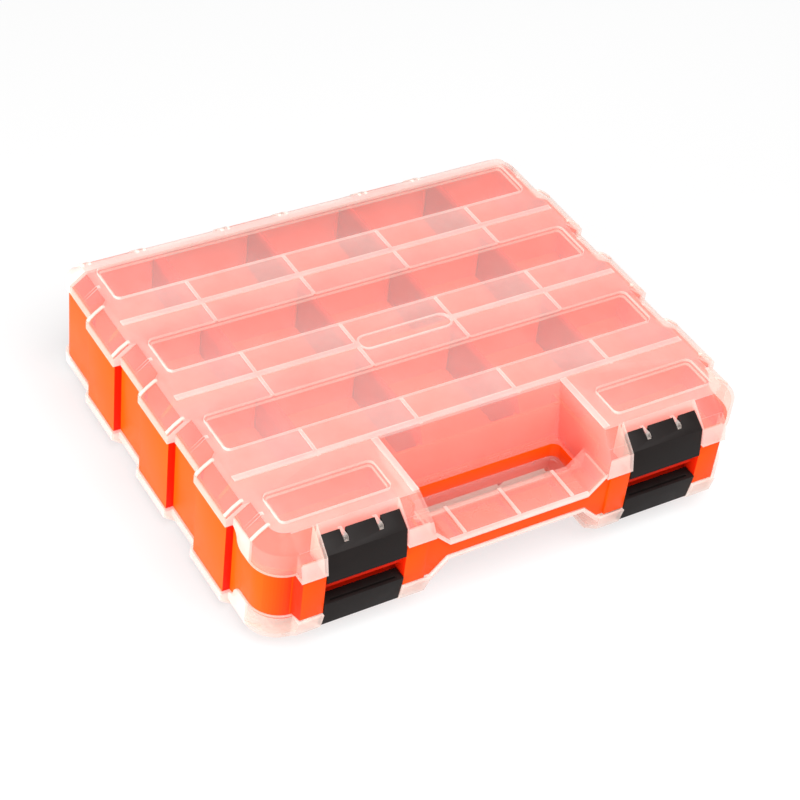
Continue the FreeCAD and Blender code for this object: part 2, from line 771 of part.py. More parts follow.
def all_parts():
    """Every piece by name, about the middle of the tray."""
    top_lid = make_top_lid()
    left_latch = make_latch(-latch_centre_x)
    right_latch = make_latch(latch_centre_x)
    parts = make_tray()
    parts["top_lid"] = top_lid
    parts["bottom_lid"] = upside_down(top_lid)
    parts["upper_left_latch"] = left_latch
    parts["upper_right_latch"] = right_latch
    parts["lower_left_latch"] = upside_down(right_latch)
    parts["lower_right_latch"] = upside_down(left_latch)
    for name, shape in row_walls().items():
        parts[f"top_{name}"] = shape
        parts[f"bottom_{name}"] = mirrored(shape)
    for number, x in enumerate(hinge_xs, 1):
        pin = make_pin(x)
        parts[f"top_hinge_pin_{number}"] = pin
        parts[f"bottom_hinge_pin_{number}"] = upside_down(pin)
    for row_number, row in enumerate(row_centres, 1):
        for column_number, column in enumerate(column_lines, 1):
            divider = make_divider(row, column)
            parts[f"top_divider_{row_number}_{column_number}"] = divider
            parts[f"bottom_divider_{row_number}_{column_number}"] = mirrored(divider)
    return parts


os.makedirs("parts", exist_ok=True)
for name, shape in all_parts().items():
    shape.translate(to_base)
    shape.exportStep(f"parts/{name}.step")
    print(name, len(shape.Solids), shape.isValid(), round(shape.Volume))
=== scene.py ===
"""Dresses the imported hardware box: orange tray and dividers, frosted lids with clear windows, black latches."""
import logging
import math
from dataclasses import dataclass, field
from enum import Enum

import bpy
from mathutils import Matrix, Vector


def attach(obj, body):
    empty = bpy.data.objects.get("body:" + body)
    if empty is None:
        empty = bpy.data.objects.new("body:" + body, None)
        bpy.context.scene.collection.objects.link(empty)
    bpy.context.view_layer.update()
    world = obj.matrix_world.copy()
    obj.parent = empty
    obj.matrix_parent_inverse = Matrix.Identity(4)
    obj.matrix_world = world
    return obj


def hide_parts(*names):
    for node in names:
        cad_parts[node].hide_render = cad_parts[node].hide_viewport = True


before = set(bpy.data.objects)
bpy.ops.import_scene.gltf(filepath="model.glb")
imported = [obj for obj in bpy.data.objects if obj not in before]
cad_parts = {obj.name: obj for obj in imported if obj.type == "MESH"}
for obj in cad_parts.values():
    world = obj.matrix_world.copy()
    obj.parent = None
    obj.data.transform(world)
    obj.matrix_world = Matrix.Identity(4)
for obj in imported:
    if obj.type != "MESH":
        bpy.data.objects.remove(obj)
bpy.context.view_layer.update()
LOG = logging.getLogger("hardware_box")
MM = 0.001
# Half the height of the box and the Y of its middle row, in metres
MIDDLE = 0.040
MIDDLE_ROW_Y = 0.030825
WHITE = "#FFFFFF"
POLYPROPYLENE_IOR = 1.49
# Colour sockets of a Mix node, which share their names with its other sockets
MIX_FIRST, MIX_SECOND, MIX_RESULT = 6, 7, 2


def linear(hex_colour: str) -> tuple[float, float, float, float]:
    """Turns an sRGB hex colour to linear.

    Args:
        hex_colour: Six hex digits with a leading sign.

    Returns:
        Linear red, green and blue, and an alpha of 1.
    """
    shares = [int(hex_colour[i:i + 2], 16) / 255 for i in (1, 3, 5)]
    rgb = [s / 12.92 if s <= 0.04045 else ((s + 0.055) / 1.055) ** 2.4 for s in shares]
    return (*rgb, 1.0)


def add_node(tree: bpy.types.NodeTree, kind: str, settings: dict | None = None,
             inputs: dict | None = None) -> bpy.types.Node:
    """Adds a node with its settings, values and links.

    Args:
        tree: The node tree that gets the node.
        kind: Blender's name of the node's type.
        settings: Properties of the node.
        inputs: Values or sockets by the name or number of the input.

    Returns:
        The new node.
    """
    node = tree.nodes.new(kind)
    for name, value in (settings or {}).items():
        setattr(node, name, value)
    for name, value in (inputs or {}).items():
        if isinstance(value, bpy.types.NodeSocket):
            tree.links.new(value, node.inputs[name])
        else:
            node.inputs[name].default_value = value
    return node


def per_metre(size_mm: float) -> float:
    """Pattern scale for features of a size in millimetres."""
    return 1 / (size_mm * MM)


def mark_faces(mesh: bpy.types.Mesh, name: str, shares: list[float]) -> None:
    """Writes one share to each face of a mesh, as an attribute of that name."""
    layer = mesh.attributes.new(name, "FLOAT", "FACE")
    layer.data.foreach_set("value", shares)


class Zone(Enum):
    """Parts of a lid: how much each of a wall's two faces veils, and how much painted orange light, standing in
    for light the tray throws into the wall, tints its milk.
    """

    # Second share: painted orange light mixed into the milk colour, standing in for light the tray throws into
    # the wall
    WINDOW = (0.21, 0.0)
    BAND = (0.31, 0.0)
    SLOPE = (0.14, 0.0)
    CORNER = (0.15, 0.2)
    SKIRT = (0.35, 0.0)
    CORNER_SKIRT = (0.18, 0.1)
    RECESS = (0.26, 0.28)
    LIP = (0.30, 0.3)
    BAR = (0.20, 0.08)
    RIDGE = (0.58, 0.0)
    RIM = (0.46, 0.0)
    BACK = (0.50, 0.0)
    # The beads are as milky as the back edge
    BEAD = BACK

    def __init__(self, veil: float, painted_orange_light: float) -> None:
        """Keeps the two shares by name.

        Args:
            veil: Share of milk on a face.
            painted_orange_light: Share of painted orange light mixed into that milk's colour.
        """
        self.veil = veil
        self.painted_orange_light = painted_orange_light

    @staticmethod
    def paint(mesh: bpy.types.Mesh, zones: "list[Zone]") -> None:
        """Writes a zone to each face of a mesh."""
        mark_faces(mesh, "frost", [zone.veil for zone in zones])
        mark_faces(mesh, "painted_orange_light", [zone.painted_orange_light for zone in zones])


@dataclass(frozen=True)
class Finish:
    """A material in words and numbers, and the node tree that shows it."""

    name: str
    grain_detail: float = 2.0
    grain_roughness: float = 0.6
    grain_strength: float = 0.35

    def material(self) -> bpy.types.Material:
        """Makes the material, or finds the one that was made before.

        Returns:
            The material with its nodes.
        """
        made = bpy.data.materials.get(self.name)
        if made:
            return made
        made = bpy.data.materials.new(self.name)
        made.use_nodes = True
        made.node_tree.nodes.clear()
        shader = self.shader(made.node_tree)
        add_node(made.node_tree, "ShaderNodeOutputMaterial", inputs={"Surface": shader})
        return made

    def cover(self, mesh: bpy.types.Mesh) -> None:
        """Makes this the only material of a mesh."""
        mesh.materials.clear()
        mesh.materials.append(self.material())

    def shader(self, tree: bpy.types.NodeTree) -> bpy.types.NodeSocket:
        """Builds the nodes.

        Args:
            tree: The material's empty tree.

        Returns:
            The socket of the surface shader.
        """
        raise NotImplementedError

    def grain(self, tree: bpy.types.NodeTree, grain_mm: float, depth_mm: float) -> bpy.types.NodeSocket:
        """A fine moulded grain as a bump.

        Args:
            tree: The material's tree.
            grain_mm: Width of one grain.
            depth_mm: How deep the grain is.

        Returns:
            The socket of the bent normal.
        """
        place = add_node(tree, "ShaderNodeTexCoord").outputs["Object"]
        noise = add_node(tree, "ShaderNodeTexNoise",
                         inputs={"Vector": place, "Scale": per_metre(grain_mm),
                                 "Detail": self.grain_detail, "Roughness": self.grain_roughness})
        bump = add_node(tree, "ShaderNodeBump",
                        inputs={"Height": noise.outputs["Fac"], "Strength": self.grain_strength,
                                "Distance": depth_mm * MM})
        return bump.outputs["Normal"]


@dataclass(frozen=True)
class MouldedOrange(Finish):
    """Injection moulded polypropylene, dyed through: satin, with faint clouds where the melt flowed.

    Narrow steps, the latch bays, the pillars beside them and the front corners get a red painted shade, mixed in
    by a face attribute.
    """

    name: str = "orange_polypropylene_moulded"
    colour: str = "#F74F06"
    cloud: str = "#F44704"
    # Red of the painted shade on the steps, the latch bays, the pillars and the front corners
    shade_red: str = "#D20B03"
    roughness: tuple[float, float] = (0.30, 0.44)
    sheen: float = 0.08
    cloud_mm: float = 45.0
    cloud_detail: float = 3.0
    # Real grain is about 0.1 mm; it is drawn coarser so that it shows
    grain_mm: float = 0.9
    grain_depth_mm: float = 0.05

    def shader(self, tree: bpy.types.NodeTree) -> bpy.types.NodeSocket:
        """Satin orange with clouds and grain, with a red painted shade mixed in by a face attribute.

        Args:
            tree: The material's empty tree.

        Returns:
            The socket of the surface shader.
        """
        place = add_node(tree, "ShaderNodeTexCoord").outputs["Object"]
        clouds = add_node(tree, "ShaderNodeTexNoise",
                          inputs={"Vector": place, "Scale": per_metre(self.cloud_mm),
                                  "Detail": self.cloud_detail}).outputs["Fac"]
        clouded = add_node(tree, "ShaderNodeMix", {"data_type": "RGBA"},
                           {"Factor": clouds, MIX_FIRST: linear(self.colour),
                            MIX_SECOND: linear(self.cloud)}).outputs[MIX_RESULT]
        # Painted shade: red mixed in where the tray marks its faces
        painted_shade = add_node(tree, "ShaderNodeAttribute", {"attribute_name": "painted_shade"}).outputs["Fac"]
        colour = add_node(tree, "ShaderNodeMix", {"data_type": "RGBA"},
                          {"Factor": painted_shade, MIX_FIRST: clouded,
                           MIX_SECOND: linear(self.shade_red)}).outputs[MIX_RESULT]
        rough = add_node(tree, "ShaderNodeMapRange",
                         inputs={"Value": clouds, "To Min": self.roughness[0],
                                 "To Max": self.roughness[1]}).outputs["Result"]
        normal = self.grain(tree, self.grain_mm, self.grain_depth_mm)
        return add_node(tree, "ShaderNodeBsdfPrincipled",
                        inputs={"Base Color": colour, "Roughness": rough, "IOR": POLYPROPYLENE_IOR,
                                "Specular IOR Level": self.sheen, "Normal": normal}).outputs["BSDF"]


@dataclass(frozen=True)
class ShadedPlateOrange(MouldedOrange):
    """The same plastic, coloured a darker red all over as painted shade, standing in for the shade on the plates
    between the compartments.
    """

    name: str = "orange_polypropylene_moulded_plate"
    # Darker red than the tray: painted shade
    colour: str = "#CE2205"
    cloud: str = "#C61C04"


@dataclass(frozen=True)
class FrostedClear(Finish):
    """Unfilled polypropylene, moulded against a grained tool with polished windows: milky, clear where thin."""

    name: str = "translucent_polypropylene_moulded"
    body_colour: str = "#FFF6F1"
    # Colour of the painted orange light in the milk
    orange_light_colour: str = "#FF4A32"
    tint: str = "#FFFAF6"
    # Roughness of a window and of the rim
    roughness: tuple[float, float] = (0.14, 0.42)
    # Share of the light in the milk that comes through from behind
    through: float = 0.45
    # The plate is thicker, so milkier, in a strip along its hinge
    strip_start: float = MIDDLE_ROW_Y + 85.5 * MM
    strip_fade_mm: float = 1.5
    strip_frost: float = 0.7
    # Clouds thin and thicken the veil by these factors
    uneven: tuple[float, float] = (0.86, 1.14)
    cloud_mm: float = 14.0
    cloud_detail: float = 3.0
    # Real grain is about 0.1 mm; it is drawn coarser so that it shows
    grain_mm: float = 0.8
    grain_depth_mm: float = 0.04

    def shader(self, tree: bpy.types.NodeTree) -> bpy.types.NodeSocket:
        """A milky veil over what lies behind, thicker where the frost attribute is higher, its milk tinted by
        painted orange light on marked faces.

        Args:
            tree: The material's empty tree.

        Returns:
            The socket of the surface shader.
        """
        frost = add_node(tree, "ShaderNodeAttribute", {"attribute_name": "frost"}).outputs["Fac"]
        place = add_node(tree, "ShaderNodeTexCoord").outputs["Object"]
        clouds = add_node(tree, "ShaderNodeTexNoise",
                          inputs={"Vector": place, "Scale": per_metre(self.cloud_mm),
                                  "Detail": self.cloud_detail}).outputs["Fac"]
        uneven = add_node(tree, "ShaderNodeMapRange",
                          inputs={"Value": clouds, "To Min": self.uneven[0],
                                  "To Max": self.uneven[1]}).outputs["Result"]
        along = add_node(tree, "ShaderNodeSeparateXYZ", inputs={"Vector": place}).outputs["Y"]
        hinge = add_node(tree, "ShaderNodeMapRange",
                         inputs={"Value": along, "From Min": self.strip_start,
                                 "From Max": self.strip_start + self.strip_fade_mm * MM,
                                 "To Max": self.strip_frost}).outputs["Result"]
        thick = add_node(tree, "ShaderNodeMath", {"operation": "MAXIMUM"}, {0: frost, 1: hinge}).outputs[0]
        veil = add_node(tree, "ShaderNodeMath", {"operation": "MULTIPLY"}, {0: thick, 1: uneven}).outputs[0]
        rough = add_node(tree, "ShaderNodeMapRange",
                         inputs={"Value": frost, "From Min": Zone.WINDOW.veil, "From Max": Zone.RIM.veil,
                                 "To Min": self.roughness[0],
                                 "To Max": self.roughness[1]}).outputs["Result"]
        normal = self.grain(tree, self.grain_mm, self.grain_depth_mm)
        # Painted orange light: the milk turns orange where the faces are marked, standing in for light the tray
        # throws into the wall
        painted_orange_light = add_node(tree, "ShaderNodeAttribute", {"attribute_name": "painted_orange_light"}).outputs["Fac"]
        colour = add_node(tree, "ShaderNodeMix", {"data_type": "RGBA"},
                          {"Factor": painted_orange_light, MIX_FIRST: linear(self.body_colour),
                           MIX_SECOND: linear(self.orange_light_colour)}).outputs[MIX_RESULT]
        body = add_node(tree, "ShaderNodeBsdfPrincipled",
                        inputs={"Base Color": colour, "Roughness": rough, "IOR": POLYPROPYLENE_IOR,
                                "Normal": normal}).outputs["BSDF"]
        glow = add_node(tree, "ShaderNodeBsdfTranslucent", inputs={"Color": colour}).outputs[0]
        milk = add_node(tree, "ShaderNodeMixShader", inputs={0: self.through, 1: body, 2: glow}).outputs[0]
        clear = add_node(tree, "ShaderNodeBsdfTransparent", inputs={"Color": linear(self.tint)}).outputs[0]
        return add_node(tree, "ShaderNodeMixShader", inputs={0: veil, 1: clear, 2: milk}).outputs[0]


@dataclass(frozen=True)
class MouldedBlack(Finish):
    """Carbon black polypropylene off a spark eroded tool: matt, with a grain that breaks up the light."""

    name: str = "black_polypropylene_moulded"
    colour: str = "#130F0E"
    worn: str = "#1E1817"
    roughness: tuple[float, float] = (0.42, 0.62)
    sheen: float = 0.11
    patch_mm: float = 6.0
    patch_detail: float = 4.0
    # A spark eroded grain is about 0.2 mm; it is drawn coarser so that it shows
    grain_mm: float = 0.7
    grain_depth_mm: float = 0.12

    def shader(self, tree: bpy.types.NodeTree) -> bpy.types.NodeSocket:
        """Matt black with a coarse grain.

        Args:
            tree: The material's empty tree.

        Returns:
            The socket of the surface shader.
        """
        place = add_node(tree, "ShaderNodeTexCoord").outputs["Object"]
        patches = add_node(tree, "ShaderNodeTexNoise",
                           inputs={"Vector": place, "Scale": per_metre(self.patch_mm),
                                   "Detail": self.patch_detail}).outputs["Fac"]
        colour = add_node(tree, "ShaderNodeMix", {"data_type": "RGBA"},
                          {"Factor": patches, MIX_FIRST: linear(self.colour),
                           MIX_SECOND: linear(self.worn)}).outputs[MIX_RESULT]
        rough = add_node(tree, "ShaderNodeMapRange",
                         inputs={"Value": patches, "To Min": self.roughness[0],
                                 "To Max": self.roughness[1]}).outputs["Result"]
        normal = self.grain(tree, self.grain_mm, self.grain_depth_mm)
        return add_node(tree, "ShaderNodeBsdfPrincipled",
                        inputs={"Base Color": colour, "Roughness": rough, "IOR": POLYPROPYLENE_IOR,
                                "Specular IOR Level": self.sheen, "Normal": normal}).outputs["BSDF"]


@dataclass(frozen=True)
class DrawnSteel(Finish):
    """Drawn steel wire: bright, with fine lines along its length."""

    name: str = "steel_wire_drawn"
    colour: str = "#B9BBBD"
    roughness: tuple[float, float] = (0.20, 0.38)
    # Real die lines are a few hundredths of a millimetre; they are drawn coarser so that they show
    line_mm: float = 0.25
    run_mm: float = 12.0

    def shader(self, tree: bpy.types.NodeTree) -> bpy.types.NodeSocket:
        """Bright steel with lines along X.

        Args:
            tree: The material's empty tree.

        Returns:
            The socket of the surface shader.
        """
        across = per_metre(self.line_mm)
        place = add_node(tree, "ShaderNodeTexCoord").outputs["Object"]
        drawn = add_node(tree, "ShaderNodeMapping",
                         inputs={"Vector": place, "Scale": (per_metre(self.run_mm), across, across)})
        lines = add_node(tree, "ShaderNodeTexNoise",
                         inputs={"Vector": drawn.outputs[0], "Scale": 1.0}).outputs["Fac"]
        rough = add_node(tree, "ShaderNodeMapRange",
                         inputs={"Value": lines, "To Min": self.roughness[0],
                                 "To Max": self.roughness[1]}).outputs["Result"]
        return add_node(tree, "ShaderNodeBsdfPrincipled",
                        inputs={"Base Color": linear(self.colour), "Metallic": 1.0,
                                "Roughness": rough}).outputs["BSDF"]


@dataclass(frozen=True)
class LitTable(Finish):
    """Opal acrylic table lit softly from below: matt white, so that shadows stay faint."""

    name: str = "opal_acrylic_lit"
    colour: str = "#808080"
    glow: float = 0.68
    roughness: tuple[float, float] = (0.85, 1.0)
    sheen: float = 0.1
    # The sanded face is far finer; its grit is drawn coarser so that it shows
    grit_mm: float = 3.0

    def shader(self, tree: bpy.types.NodeTree) -> bpy.types.NodeSocket:
        """Plain matt white that glows.

        Args:
            tree: The material's empty tree.

        Returns:
            The socket of the surface shader.
        """
        place = add_node(tree, "ShaderNodeTexCoord").outputs["Object"]
        grit = add_node(tree, "ShaderNodeTexNoise",
                        inputs={"Vector": place, "Scale": per_metre(self.grit_mm)}).outputs["Fac"]
        rough = add_node(tree, "ShaderNodeMapRange",
                         inputs={"Value": grit, "To Min": self.roughness[0],
                                 "To Max": self.roughness[1]}).outputs["Result"]
        return add_node(tree, "ShaderNodeBsdfPrincipled",
                        inputs={"Base Color": linear(self.colour), "Roughness": rough,
                                "Specular IOR Level": self.sheen, "Emission Color": linear(WHITE),
                                "Emission Strength": self.glow}).outputs["BSDF"]


@dataclass
class Moulding:
    """A moulded piece: the shape of its nodes with sharp edges rounded as a mould leaves them."""

    nodes: tuple[str, ...]
    body: str
    slot: str
    finish: Finish
    edge_mm: float = 0.4
    steps: int = 2
    suffix: str = "moulding"
    weld_mm: float = 0.002
    # Degrees between faces that are one in a node, faces that are one in the whole piece, faces whose edge
    # is rounded, and faces that are shaded as one curve
    node_flat: float = 0.05
    piece_flat: float = 0.4
    sharp: float = 34.0
    curved: float = 32.0
    piece: bpy.types.Object | None = field(default=None, init=False)

    def build(self) -> None:
        """Makes the piece, rounds its edges, dresses it and sets it on its body."""
        self.piece, *others = [self.copy_node(node) for node in self.nodes]
        for other in others:
            self.unite(other)
        self.merge(self.piece, self.piece_flat)
        if others:
            self.piece.name = f"{self.body}_{self.suffix}"
        self.round_edges()
        self.dress()
        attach(self.piece, self.body)
        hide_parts(*self.nodes)
        LOG.info("%s: %d faces", self.piece.name, len(self.piece.data.polygons))

    def copy_node(self, node: str) -> bpy.types.Object:
        """Makes a closed copy of a node.

        Args:
            node: The node's name.

        Returns:
            The copy, with its loose triangles joined.
        """
        copy = bpy.data.objects.new(f"{node}_{self.suffix}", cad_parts[node].data.copy())
        bpy.context.scene.collection.objects.link(copy)
        self.merge(copy, self.node_flat)
        return copy

    def unite(self, other: bpy.types.Object) -> None:
        """Takes a section that touches the piece into its shell.

        Args:
            other: The section, which is removed.
        """
        self.pick(self.piece)
        union = self.piece.modifiers.new("union", "BOOLEAN")
        union.operation = "UNION"
        union.solver = "EXACT"
        union.object = other
        bpy.ops.object.modifier_apply(modifier=union.name)
        bpy.data.objects.remove(other)

    @staticmethod
    def pick(*pieces: bpy.types.Object) -> None:
        """Selects pieces alone, the first of them as the active one.

        Args:
            pieces: The pieces to select.
        """
        bpy.ops.object.select_all(action="DESELECT")
        for piece in pieces:
            piece.select_set(True)
        bpy.context.view_layer.objects.active = pieces[0]

    def merge(self, piece: bpy.types.Object, flat: float) -> None:
        """Joins triangles into whole flat faces.

        Args:
            piece: The piece to merge.
            flat: Largest angle between faces that count as one, in degrees.
        """
        self.pick(piece)
        bpy.ops.mesh.customdata_custom_splitnormals_clear()
        bpy.ops.object.mode_set(mode="EDIT")
        bpy.ops.mesh.select_all(action="SELECT")
        bpy.ops.mesh.remove_doubles(threshold=self.weld_mm * MM)
        bpy.ops.mesh.dissolve_limited(angle_limit=math.radians(flat))
        bpy.ops.object.mode_set(mode="OBJECT")

    def round_edges(self) -> None:
        """Rounds every sharp edge by a bevel and shades the curved faces smooth."""
        bevel = self.piece.modifiers.new("mould_radius", "BEVEL")
        bevel.width = self.edge_mm * MM
        bevel.segments = self.steps
        bevel.limit_method = "ANGLE"
        bevel.angle_limit = math.radians(self.sharp)
        bevel.use_clamp_overlap = True
        bpy.ops.object.modifier_apply(modifier=bevel.name)
        bpy.ops.object.shade_smooth_by_angle(angle=math.radians(self.curved))

    def dress(self) -> None:
        """Gives the piece its finish."""
        self.finish.cover(self.piece.data)


@dataclass
class Latch(Moulding):
    """A black snap latch."""

    slot: str = "black_polypropylene"
    finish: Finish = MouldedBlack()
    edge_mm: float = 0.5
    steps: int = 3


@dataclass
class Divider(Moulding):
    """A loose plate between two compartments of a row."""

    slot: str = "orange_polypropylene"
    finish: Finish = ShadedPlateOrange()
    edge_mm: float = 0.3
    suffix: str = "plate"


@dataclass
class Tray(Moulding):
    """The tray, made whole from its sections, whose faces carry how much red painted shade they get.

    Places are in millimetres, with Y about the middle row, and are the same on the left and on the right.
    """

    slot: str = "orange_polypropylene"
    finish: Finish = MouldedOrange()
    edge_mm: float = 0.45
    # Narrow steps of the side walls, which get a red painted shade
    step_x: float = 152.0
    step_shade: float = 0.9
    # Bays behind the latches, which get a red painted shade
    bay_x: tuple[float, float] = (71.5, 122.5)
    bay_y: float = -155.0
    bay_shade: float = 0.85
    # Pillars beside the bays, whose outward faces get a red painted shade
    pillar_x: tuple[float, float] = (133.0, 138.5)
    pillar_y: float = -158.0
    pillar_shade: float = 0.8
    # Front corners, whose red painted shade fades away from the pillars
    corner_y: float = -150.0
    corner_reach: float = 14.0
    corner_shade: float = 0.55
    # Share of a normal that makes a face look forwards or sideways
    facing: float = 0.7
    corner_facing: float = 0.5

    def painted_shade(self, centre: Vector, normal: Vector) -> float:
        """Finds how much red painted shade a face gets.

        Args:
            centre: The middle of the face, in metres.
            normal: Its normal.

        Returns:
            A share from 0 to 1.
        """
        x = abs(centre.x) / MM
        y = (centre.y - MIDDLE_ROW_Y) / MM
        # Red painted shade on the steps, bays, pillars and front corners
        if x > self.step_x and normal.y < -self.facing:
            return self.step_shade
        if self.bay_x[0] < x < self.bay_x[1] and y < self.bay_y:
            return self.bay_shade
        outwards = normal.x * centre.x > 0 and abs(normal.x) > self.facing
        if self.pillar_x[0] < x < self.pillar_x[1] and y < self.pillar_y and outwards:
            return self.pillar_shade
        if x > self.pillar_x[1] and y < self.corner_y and normal.y < -self.corner_facing:
            return self.corner_shade * max(0.0, 1 - (x - self.pillar_x[1]) / self.corner_reach)
        return 0.0

    def dress(self) -> None:
        """Gives the tray its finish and each face its share of painted shade."""
        super().dress()
        mesh = self.piece.data
        mark_faces(mesh, "painted_shade", [self.painted_shade(face.center, face.normal) for face in mesh.polygons])


@dataclass
class Lid(Moulding):
    """A lid, whose faces carry how frosted they are.

    Places are in millimetres, with Y about the middle row and levels from the middle of the box.
    """

    slot: str = "translucent_polypropylene"
    finish: Finish = FrostedClear()
    edge_mm: float = 0.35
    # Three wide windows, and a small one on each side of the recess
    window_half: float = 140.0
    window_rows: tuple[float, ...] = (70.0, 0.0, -70.0)
    window_reach: float = 15.0
    small_x: tuple[float, float] = (72.0, 139.0)
    small_y: tuple[float, float] = (-146.05, -122.55)
    # Level of the plate, how thick it is, how far ridges stand up and how far the slopes reach down
    plate: float = 38.0
    plate_thick: float = 2.0
    ridge_rise: float = 0.2
    slope_drop: float = 10.0
    back_y: float = 86.2
    # Recess above the handle, with the cover of the bar and its ribs
    recess_half: float = 61.8
    recess_y: float = -105.5
    slot_y: float = -143.0
    bar_front_y: float = -165.5
    bar_level: float = 8.1
    bar_edge: float = 0.2
    rib_rise: float = 1.2
    # Front corners, and the ends of the upright skirt
    corner_x: float = 134.0
    corner_y: float = -142.0
    knee: float = 30.4
    foot: float = 25.5
    # Share of Z in the normal above which a face lies flat, and below which it stands up
    flat: float = 0.95
    steep: float = 0.3

    def zone(self, centre: Vector, normal: Vector) -> Zone:
        """Finds what part of the lid a face belongs to.

        Args:
            centre: The middle of the face, in metres.
            normal: Its normal.

        Returns:
            The zone that sets its frost.
        """
        x = abs(centre.x) / MM
        y = (centre.y - MIDDLE_ROW_Y) / MM
        level = abs(centre.z - MIDDLE) / MM
        lie = abs(normal.z)
        if y > self.back_y:
            return Zone.BACK
        if level > self.plate and self.in_window(x, y):
            return Zone.WINDOW if lie > self.flat else Zone.RIDGE
        if level > self.plate + self.ridge_rise:
            return Zone.RIDGE
        if lie > self.flat and level > self.plate - self.plate_thick:
            return Zone.BAND
        if x < self.recess_half and y < self.recess_y:
            return self.recess_zone(y, level, lie)
        return self.side_zone(x, y, level, lie)

    def in_window(self, x: float, y: float) -> bool:
        """Tells whether a place on the plate lies in a window.

        Args:
            x: Distance from the middle of the lid.
            y: Place from front to back.

        Returns:
            True in a wide or a small window.
        """
        wide = x <= self.window_half and any(abs(y - row) <= self.window_reach for row in self.window_rows)
        small = self.small_x[0] <= x <= self.small_x[1] and self.small_y[0] <= y <= self.small_y[1]
        return wide or small

    def recess_zone(self, y: float, level: float, lie: float) -> Zone:
        """Finds what part of the handle recess a face belongs to.

        Args:
            y: Place from front to back.
            level: Height from the middle of the box.
            lie: Share of Z in its normal.

        Returns:
            The zone that sets its frost.
        """
        rib = self.bar_level < level < self.bar_level + self.rib_rise and y < self.slot_y
        if rib or y < self.bar_front_y:
            return Zone.RIDGE
        if level < self.bar_level - self.bar_edge:
            return Zone.LIP
        if y < self.slot_y and lie > self.flat:
            return Zone.BAR
        return Zone.RECESS

    def side_zone(self, x: float, y: float, level: float, lie: float) -> Zone:
        """Finds what part of the slopes, the skirt or the rim a face belongs to.

        Args:
            x: Distance from the middle of the lid.
            y: Place from front to back.
            level: Height from the middle of the box.
            lie: Share of Z in its normal.

        Returns:
            The zone that sets its frost.
        """
        corner = x > self.corner_x and y < self.corner_y
        if self.steep < lie <= self.flat and level > self.plate - self.slope_drop:
            return Zone.CORNER if corner else Zone.SLOPE
        if corner and lie < self.steep:
            return Zone.CORNER_SKIRT
        if lie < self.steep and self.foot < level < self.knee and x > self.corner_x:
            return Zone.SKIRT
        return Zone.RIM

    def dress(self) -> None:
        """Gives the lid its finish and each face its frost."""
        super().dress()
        mesh = self.piece.data
        Zone.paint(mesh, [self.zone(face.center, face.normal) for face in mesh.polygons])


